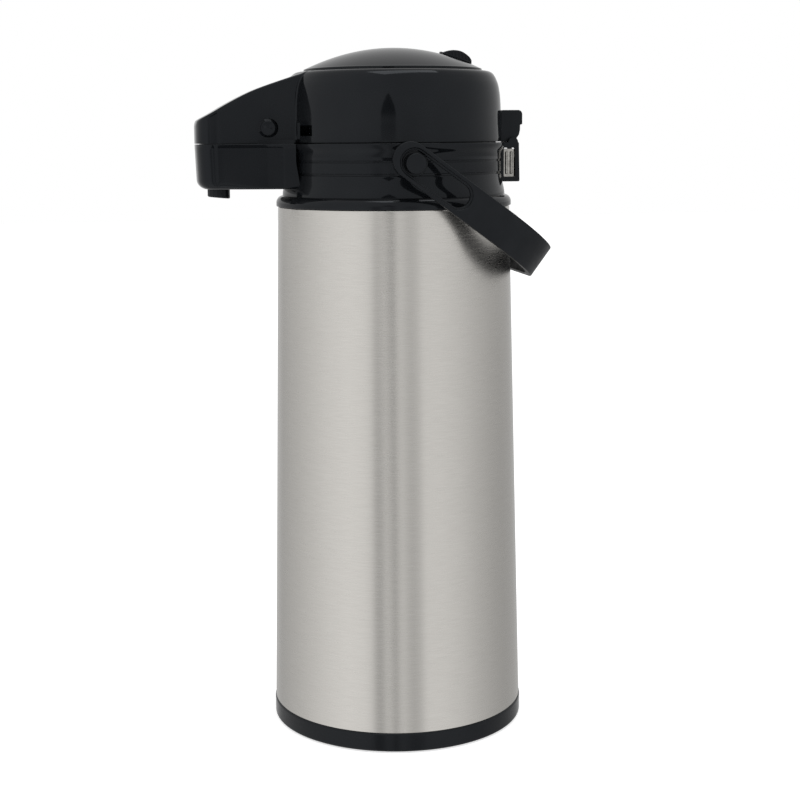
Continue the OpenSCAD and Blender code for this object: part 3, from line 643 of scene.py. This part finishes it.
def lower_plan():
    """The lower cover's closed plan as points [x, distance] and outward normals."""
    side = OUTLINE[OUTLINE[:, 1] > 64]
    loop = [(SPOUT_ROOT_W, 46, 5)] + [tuple(p) for p in side] + [
        (-p[0], p[1]) for p in side[-2::-1]] + [(-SPOUT_ROOT_W, 46, 5)]
    points = np.array(rounded(loop, 10))
    gaps = np.linalg.norm(np.roll(points, -1, 0) - points, axis=1)
    place = np.concatenate([[0], np.cumsum(gaps)])
    around = np.vstack([points, points[:1]])
    steps = np.linspace(0, place[-1], 360, endpoint=False)
    points = np.stack([np.interp(steps, place, around[:, k]) for k in (0, 1)], 1)
    run = np.roll(points, -2, 0) - np.roll(points, 2, 0)
    run /= np.linalg.norm(run, axis=1)[:, None]
    return points, np.stack([run[:, 1], -run[:, 0]], 1)


def spout_underside():
    points, normals = lower_plan()
    middle = points.mean(0)
    if ((points - middle) * normals).sum() < 0:
        normals = -normals
    top, edge = LIP_Z, 0.25
    round_r = 2.4 + 2.9 * smooth_step((points[:, 1] - 84) / 28)

    def ring(inset, z):
        p = points - normals * np.broadcast_to(inset, len(points))[:, None]
        z = np.broadcast_to(z, len(points))
        slant = 0.9 * (1 - (z - SPOUT_FLOOR) / (top - SPOUT_FLOOR))
        d = p[:, 1] - slant * smooth_step((p[:, 1] - 95) / 22)
        return np.stack([p[:, 0], -d, z], 1)

    wall = 2.3
    rings = [ring(round_r * (1 - math.sin(a)), SPOUT_FLOOR + round_r * (1 - math.cos(a)))
             for a in np.radians(np.linspace(0, 90, 12))]
    rings += [ring(0.0, z) for z in np.linspace(339, top - edge, 8)]
    rings += [ring(edge * (1 - math.cos(a)), top - edge + edge * math.sin(a))
              for a in np.radians(np.linspace(22, 90, 4))]
    shell = ring_object("spout_underside", rings, closed=False, caps=True)
    hollow = ring_object("hollow", [ring(wall, SPOUT_FLOOR + wall), ring(wall, top + 2)],
                         closed=False, caps=True)
    cut(hollow, [neck_room(wall)])
    drills = [drill(6.85, 340, 0, NOZZLE_Y, 64)]
    drills += [drill(2.8, 334.6, x, y, 32) for x in (-14, 14) for y in (-71.5, -96)]
    cut(shell, [hollow, neck_room(0)])
    joined(shell, [seam_lip(wall)])
    finished(cut(shell, drills), "lid", "plastic_gloss", "spout_lower_cover",
             weighted=False)


def drill(r, top, x, y, columns):
    """An upright cutter that starts below the lower cover."""
    start = 330
    return turned("drill", [(0, start), (r, start), (r, top), (0, top)], columns, centre=(x, y, 0))


def neck_room(wall):
    """The room that the lower cover leaves for the neck: closer to it low down than at its lip."""
    low_r, high_r, bottom, top = 65.9 + wall, 67.8 + wall, 325, 366
    return turned("room", [(0, bottom), (low_r, bottom), (low_r, 334), (high_r, 347),
                           (high_r, top), (0, top)])


def seam_lip(wall):
    """A rib that stands up inside the head's half of the spout and closes the seam behind."""
    start = 63.2
    side = OUTLINE[OUTLINE[:, 1] > start + 0.5]
    side = np.vstack([(np.interp(start, OUTLINE[:, 1], OUTLINE[:, 0]), start), side])
    path = np.vstack([side, side[-2::-1] * (-1, 1)])
    run = np.gradient(path, axis=0)
    run /= np.linalg.norm(run, axis=1)[:, None]
    inward = np.stack([-run[:, 1], run[:, 0]], 1)
    outer, inner = 2.8, 4.0
    section = [(wall - 0.3, LIP_Z - 3), (inner, LIP_Z - 3), (inner, SEAM_Z + 2), (outer, SEAM_Z + 2),
               (outer, LIP_Z - 0.4), (wall - 0.3, LIP_Z - 0.4)]
    rows = [[(p[0] + n[0] * inset, -(p[1] + n[1] * inset), z) for inset, z in section]
            for p, n in zip(path, inward)]
    return ring_object("lip", rows, closed=False, caps=True)


def spout_nozzle():
    """Flats run down the nozzle, and its lip is cut at a slant, higher at the front."""
    flats, slant = 16, math.tan(math.radians(5.5))
    bottom, top, outer, bore = low("nozzle")[2], high("nozzle")[2], 6.7, 3.2
    profile = [(8.2, top), (8.2, 335.2), (outer, 335.2), (outer, bottom + 0.5),
               (outer - 0.5, bottom), (bore + 0.3, bottom), (bore, bottom + 0.3), (bore, top)]
    columns = 4 * flats
    angles = np.linspace(0, 2 * math.pi, columns, endpoint=False)
    facet = math.cos(math.pi / flats) / np.cos(
        (angles + math.pi / flats) % (2 * math.pi / flats) - math.pi / flats)
    rings = []
    for r, z in profile:
        shape = facet if outer - 1 < r < outer + 1 else np.ones(columns)
        x, y = r * shape * np.cos(angles), r * shape * np.sin(angles)
        lift = (outer - y) * slant if z < bottom + 1 else 0 * y
        rings.append(np.stack([x, y + NOZZLE_Y, z + lift], 1))
    nozzle = ring_object("spout_nozzle", rings)
    finished(nozzle, "lid", "plastic_satin", "nozzle", sharp=18)


# ---- push plate, lock and buttons ----

def push_dome():
    skin = 2.5
    skirt = PLATE_R - 2.2
    top = [(r, dome_z(r)) for r in np.linspace(0, PLATE_R - 0.9, 40)]
    rim = rounded([top[-1], (PLATE_R, PLATE_RIM + 0.15, 0.6), (PLATE_R, 395.5), (skirt, 395.5)],
                  closed=False)[1:]
    under = [(r, dome_z(r) - skin) for r in np.linspace(skirt, 0, 30)]
    dome = turned("push_dome", top + rim + under, 256)
    pusher = turned("pusher", [(11.5, BELLOWS_TOP + 0.4), (14, BELLOWS_TOP + 0.4), (14, 412.2),
                               (11.5, 412.2)], 96)
    slot = sector("slot", [(36.5, 398), (39.5, 398), (39.5, 416), (36.5, 416)], 86.5, 118.5)
    finished(cut(joined(dome, [pusher]), [slot]), "push_plate", "plastic_gloss", "push_plate")


def sector(name, outline, start, end, steps=32):
    """A [radius, height] outline turned about Z from one angle to another."""
    rings = [[(r * math.cos(a), r * math.sin(a), z) for r, z in outline]
             for a in np.radians(np.linspace(start, end, steps + 1))]
    return ring_object(name, rings, closed=False, caps=True)


def over_dome(r0, r1, height, steps=8):
    return [(r, dome_z(r) + height) for r in np.linspace(r0, r1, steps + 1)]


def lock_tab():
    """A pad that slides on the dome, with a ribbed half-moon fin for the finger."""
    pad = sector("lock_tab", over_dome(30, 47, 0.3) + over_dome(47, 30, 1.4), 81, 99, 16)
    bevelled(pad, 0.3, 2)
    crest = flowing([(29, 411.2), (31, 412.0), (33.5, 412.8), (37.5, 413.2), (42, 412.4),
                     (46, 409.9), (48.2, 407.2)])
    ribs, rib_depth, edge = 9, 0.3, 0.7
    rows = []
    for y in np.linspace(29.2, 48.0, ribs * 6 + 1):
        z_top = np.interp(y, crest[:, 0], crest[:, 1])
        z_low = dome_z(y) + 0.9
        phase = (y - 29.2) / (48.0 - 29.2) * ribs
        half = 2.7 + rib_depth * (0.5 - 0.5 * math.cos(2 * math.pi * phase))
        z_top = max(z_top, z_low + edge + 0.1)
        side = [(half, z_low)] + [(half - edge + edge * math.cos(a), z_top - edge + edge * math.sin(a))
                                  for a in np.radians(np.linspace(0, 90, 5))]
        rows.append([(x, y, z) for x, z in side] + [(-x, y, z) for x, z in side[::-1]])
    fin = ring_object("fin", rows, closed=False, caps=True)
    stem = sector("stem", [(37, dome_z(38) - 3.4), (39, dome_z(38) - 3.4), (39, dome_z(38) + 1),
                           (37, dome_z(38) + 1)], 88, 92, 4)
    foot = sector("foot", over_dome(34, 42, -2.8) + over_dome(42, 34, -4.4), 84, 96, 8)
    joined(pad, [fin, stem, foot])
    finished(pad, "lock", "plastic_satin", "lock_lever")


def buttons():
    """Each has a stem for its spring, a flange with a conical face and a slightly dished end."""
    face = high("release_button_right")[0]
    stem_r, flange_r, r = 1.5, 6.6, 4.3
    profile = rounded([
        (0, 16), (stem_r, 16), (stem_r, 20.4), (flange_r, 20.4), (flange_r, 20.6), (r, 23.4),
        (r, face, 0.6), (2.6, face - 0.1), (1.3, face - 0.35), (0, face - 0.42)])
    for side, name in ((-1, "left"), (1, "right")):
        button = turned("button_" + name, [(r, side * x) for r, x in profile], 64, "X",
                        (0, BUTTON_Y, BUTTON_Z))
        finished(button, "button_" + name, "plastic_gloss", "release_button_" + name)


# ---- springs and bellows ----

def coil(name, r, wire, start, end, turns, axis="Z", centre=(0, 0, 0)):
    """A round-wire coil at an even pitch, its wire capped at both ends."""
    per_turn, sides = 40, 12
    count = int(turns * per_turn)
    rows = []
    for i in range(count + 1):
        a = 2 * math.pi * i / per_turn
        h = start + (end - start) * i / count
        loop = []
        for j in range(sides):
            b = 2 * math.pi * j / sides
            q = r + wire * math.cos(b)
            p = (q * math.cos(a), q * math.sin(a), h + wire * math.sin(b))
            loop.append(p if axis == "Z" else (p[2], p[0], p[1]))
        rows.append(np.array(loop) + np.array(centre))
    return ring_object(name, rows, closed=False, caps=True)


def pressed_pieces():
    folds, wide, narrow, wall = 4, 40, 31, 1.8
    foot, top = BELLOWS_Z + 1.5, BELLOWS_TOP - 2
    heights = np.linspace(foot, top, 2 * folds + 1)
    side = [(narrow if i % 2 == 0 else wide, z, 0.5) for i, z in enumerate(heights)]
    inside = [(r - wall, z, 0.4) for r, z, _ in side[::-1]]
    profile = rounded([(43.5, BELLOWS_Z), (43.5, foot, 0.4)] + side + [
        (narrow, BELLOWS_TOP, 0.6), (0, BELLOWS_TOP), (0, top)] + inside + [
            (narrow - wall, BELLOWS_Z)], 4)
    bellows = finished(turned("bellows_folds", profile, 96), "lid", "rubber_grey", "bellows",
                       weighted=False)
    pump = coil("pump_coil", 10, 0.8, BELLOWS_Z + 0.8, BELLOWS_TOP - 2.9, 5)
    finished(pump, "lid", "fastener_steel", "pump_spring", weighted=False)
    for piece in (bellows, pump):
        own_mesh(piece)
    for side, name in ((-1, "left"), (1, "right")):
        spring = coil("button_coil_" + name, 2.2, 0.3, side * 12.35, side * 20.05, 5, "X",
                      (0, BUTTON_Y, BUTTON_Z))
        finished(spring, "lid", "fastener_steel", "button_spring_" + name, weighted=False)
        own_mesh(spring)


# ---- carried-over CAD nodes ----

def dress_frame():
    slots = {s["node"]: s["material_slot"] for s in frame["record"]["subparts"]}
    for node, piece in frame["nodes"].items():
        piece.data.materials.clear()
        piece.data.materials.append(MATERIALS[slots[node]])


# ---- stage ----

def floor():
    bm = bmesh.new()
    bmesh.ops.create_grid(bm, x_segments=8, y_segments=8, size=6)
    piece = mesh_object("floor", bm)
    made = bpy.data.materials.new("floor_pale")
    made.use_nodes = True
    tree = made.node_tree
    shader = tree.nodes["Principled BSDF"]
    shader.inputs["Base Color"].default_value = (0.82, 0.82, 0.82, 1)
    shader.inputs["Roughness"].default_value = 0.9
    shader.inputs["Specular IOR Level"].default_value = 0.1
    shader.inputs["Emission Color"].default_value = (1, 1, 1, 1)
    shader.inputs["Emission Strength"].default_value = 0.62
    piece.data.materials.append(made)
    piece.visible_glossy = False


# Brightness of the studio by compass angle from +X in degrees: near the floor there are gaps
# between its lights, and above them it is even.
LOW_STUDIO = [(-180, 0.52), (-168, 0.54), (-150, 0.46), (-117, 0.60), (-94, 0.73), (-75, 0.85),
              (-56, 0.92), (-40, 0.88), (-33, 0.78), (-28, 0.42), (-24, 0.42), (-19, 0.75),
              (-14, 0.62), (-11, 0.40), (-8, 0.62), (-4, 0.74), (2, 0.57), (6, 0.50), (12, 0.58),
              (18, 0.84), (36, 0.82), (54, 0.73), (73, 0.59), (95, 0.47), (112, 0.42),
              (135, 0.44), (155, 0.52), (180, 0.52)]
HIGH_STUDIO = [(-180, 0.66), (-160, 0.60), (-120, 0.70), (-80, 0.85), (-50, 0.88), (-20, 0.76),
               (5, 0.70), (30, 0.76), (55, 0.72), (90, 0.66), (130, 0.62), (180, 0.66)]


def ring_of_light(tree, turn, levels):
    """A background whose brightness follows the compass angle."""
    ramp = tree.nodes.new("ShaderNodeValToRGB")
    stops = ramp.color_ramp.elements
    while len(stops) < len(levels):
        stops.new(0.5)
    for stop, (angle, level) in zip(stops, levels):
        stop.position = (angle + 180) / 360
        stop.color = (level, level, level, 1)
    tree.links.new(turn, ramp.inputs["Fac"])
    return ramp.outputs["Color"]


def maths(tree, operation, *values):
    """A maths node; each value is a number or another node's output."""
    step = tree.nodes.new("ShaderNodeMath")
    step.operation = operation
    for socket, value in zip(step.inputs, values):
        if isinstance(value, (int, float)):
            socket.default_value = value
        else:
            tree.links.new(value, socket)
    return step.outputs["Value"]


def mixed(tree, share, first, second):
    """The first colour where share is 0, the second where it is 1."""
    step = tree.nodes.new("ShaderNodeMix")
    step.data_type = "RGBA"
    for name, value in (("Factor_Float", share), ("A_Color", first), ("B_Color", second)):
        socket = next(i for i in step.inputs if i.identifier == name)
        if isinstance(value, tuple):
            socket.default_value = value
        else:
            tree.links.new(value, socket)
    return next(o for o in step.outputs if o.identifier == "Result_Color")


def surroundings():
    """White behind the object; what its surfaces reflect is a ring of soft lights and gaps."""
    world = bpy.data.worlds.new("studio")
    bpy.context.scene.world = world
    world.use_nodes = True
    tree = world.node_tree
    backdrop, room = tree.nodes["Background"], tree.nodes.new("ShaderNodeBackground")
    backdrop.inputs["Color"].default_value = (1, 1, 1, 1)
    place, turn = tree.nodes.new("ShaderNodeTexCoord"), tree.nodes.new("ShaderNodeTexGradient")
    turn.gradient_type = "RADIAL"
    tree.links.new(place.outputs["Generated"], turn.inputs["Vector"])
    split = tree.nodes.new("ShaderNodeSeparateXYZ")
    tree.links.new(place.outputs["Generated"], split.inputs["Vector"])
    x, y, z = (split.outputs[k] for k in "XYZ")
    # the share of the upper studio grows from 0 to 1 just above the horizon
    upper = maths(tree, "MULTIPLY_ADD", z, 40.0, 0.2)
    upper = maths(tree, "MINIMUM", maths(tree, "MAXIMUM", upper, 0.0), 1.0)
    light = mixed(tree, upper, ring_of_light(tree, turn.outputs["Fac"], LOW_STUDIO),
                  ring_of_light(tree, turn.outputs["Fac"], HIGH_STUDIO))
    # a dark stand in front of the lights, wide at its foot and pointed at its top
    foot, tip, half_width, bearing = 0.035, 0.25, math.radians(8), math.radians(-14.4)
    aside = maths(tree, "ABSOLUTE", maths(tree, "SUBTRACT", maths(tree, "ARCTAN2", y, x), bearing))
    taper = maths(tree, "DIVIDE", maths(tree, "SUBTRACT", z, foot), tip - foot)
    inside = maths(tree, "LESS_THAN",
                   maths(tree, "ADD", maths(tree, "DIVIDE", aside, half_width), taper), 1.0)
    stand = maths(tree, "MULTIPLY", inside, maths(tree, "GREATER_THAN", z, foot))
    light = mixed(tree, stand, light, (0.06, 0.06, 0.06, 1))
    tree.links.new(light, room.inputs["Color"])
    mix, path = tree.nodes.new("ShaderNodeMixShader"), tree.nodes.new("ShaderNodeLightPath")
    tree.links.new(path.outputs["Is Camera Ray"], mix.inputs["Fac"])
    tree.links.new(room.outputs["Background"], mix.inputs[1])
    tree.links.new(backdrop.outputs["Background"], mix.inputs[2])
    tree.links.new(mix.outputs["Shader"], tree.nodes["World Output"].inputs["Surface"])


def softbox(name, place, size, power, aim=(0, 0, 0.22)):
    data = bpy.data.lights.new(name, "AREA")
    data.shape = "RECTANGLE"
    data.size, data.size_y = size
    data.energy = power
    lamp = bpy.data.objects.new(name, data)
    lamp.location = place
    lamp.rotation_euler = (Vector(aim) - Vector(place)).to_track_quat("-Z", "Y").to_euler()
    lamp.visible_camera = False
    bpy.context.scene.collection.objects.link(lamp)


def camera():
    place = Vector((0.9463, -0.1604, 0.3621))
    level_back = Vector((0.9854, -0.1702, 0)).normalized()
    pitch, roll = math.radians(9.58), math.radians(-0.42)
    back = level_back * math.cos(pitch) + Vector((0, 0, math.sin(pitch)))
    right = Vector((0, 0, 1)).cross(back).normalized()
    turn = Matrix((right, back.cross(right), back)).transposed() @ Matrix.Rotation(roll, 3, "Z")
    data = bpy.data.cameras.new("camera")
    data.lens = 70.3
    data.sensor_width = 36
    eye = bpy.data.objects.new("camera", data)
    eye.matrix_world = Matrix.Translation(place) @ turn.to_4x4()
    bpy.context.scene.collection.objects.link(eye)
    bpy.context.scene.camera = eye


camera()
base_ring()
steel_jacket()
shoulder_band()
neck_band()
pivot_caps()
strap_handle()
hinge_pieces()
head_shell()
spout_underside()
spout_nozzle()
push_dome()
lock_tab()
buttons()
pressed_pieces()
dress_frame()
floor()
surroundings()
softbox("overhead", (0.25, 0.1, 1.5), (1.0, 0.5), 3.5)
bpy.context.scene.view_settings.view_transform = "Standard"
